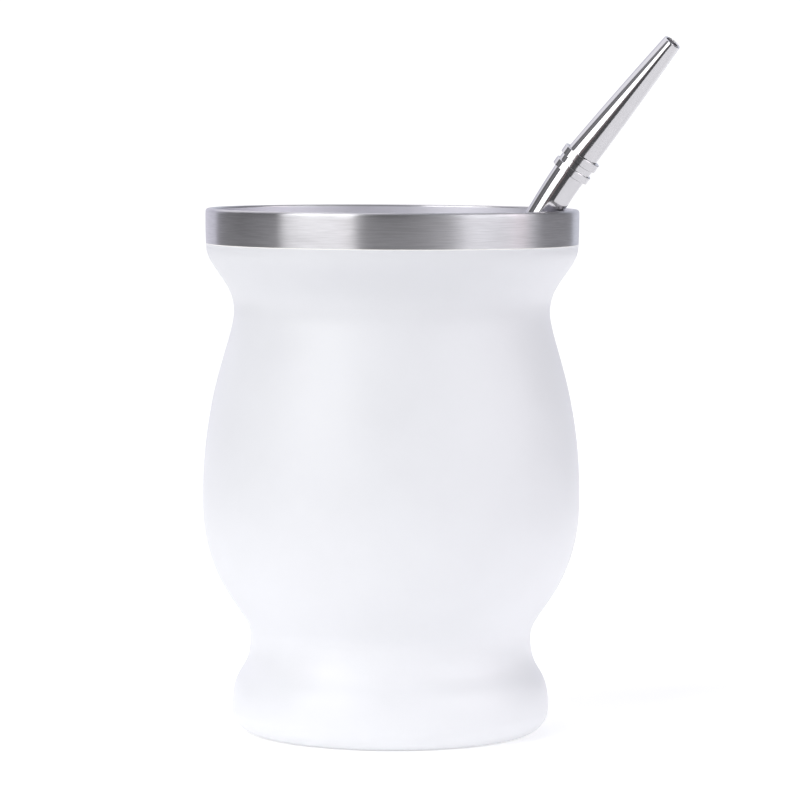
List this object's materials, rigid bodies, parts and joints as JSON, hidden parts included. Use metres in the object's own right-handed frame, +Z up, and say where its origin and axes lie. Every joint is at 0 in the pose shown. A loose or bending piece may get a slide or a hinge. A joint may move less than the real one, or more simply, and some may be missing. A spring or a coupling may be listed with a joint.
{
  "type": "insulated mate cup with metal straw",
  "caption": "Double-walled steel mate cup with a flared rim, round belly and spread foot, white coated below a bare steel rim band, with a metal straw, pressed flat towards its tip, leaning in it.",
  "frame": {"origin": "centre of the cup's flat underside", "axes": "+Z up the cup's axis; the straw leans towards +X and a little towards -Y"},
  "size_m": [0.0952, 0.0768, 0.1412],
  "materials": {
    "powder_coat": "white powder coat, satin, with a very fine orange peel",
    "brushed_band": "bare stainless steel, brushed round the rim",
    "straw_steel": "polished stainless steel"
  },
  "bodies": {
    "root": {"outer_shell": "powder_coat", "steel_liner": "brushed_band", "straw_tube": "straw_steel", "straw_collar": "straw_steel", "straw_mouthpiece": "straw_steel"}
  },
  "joints": []
}
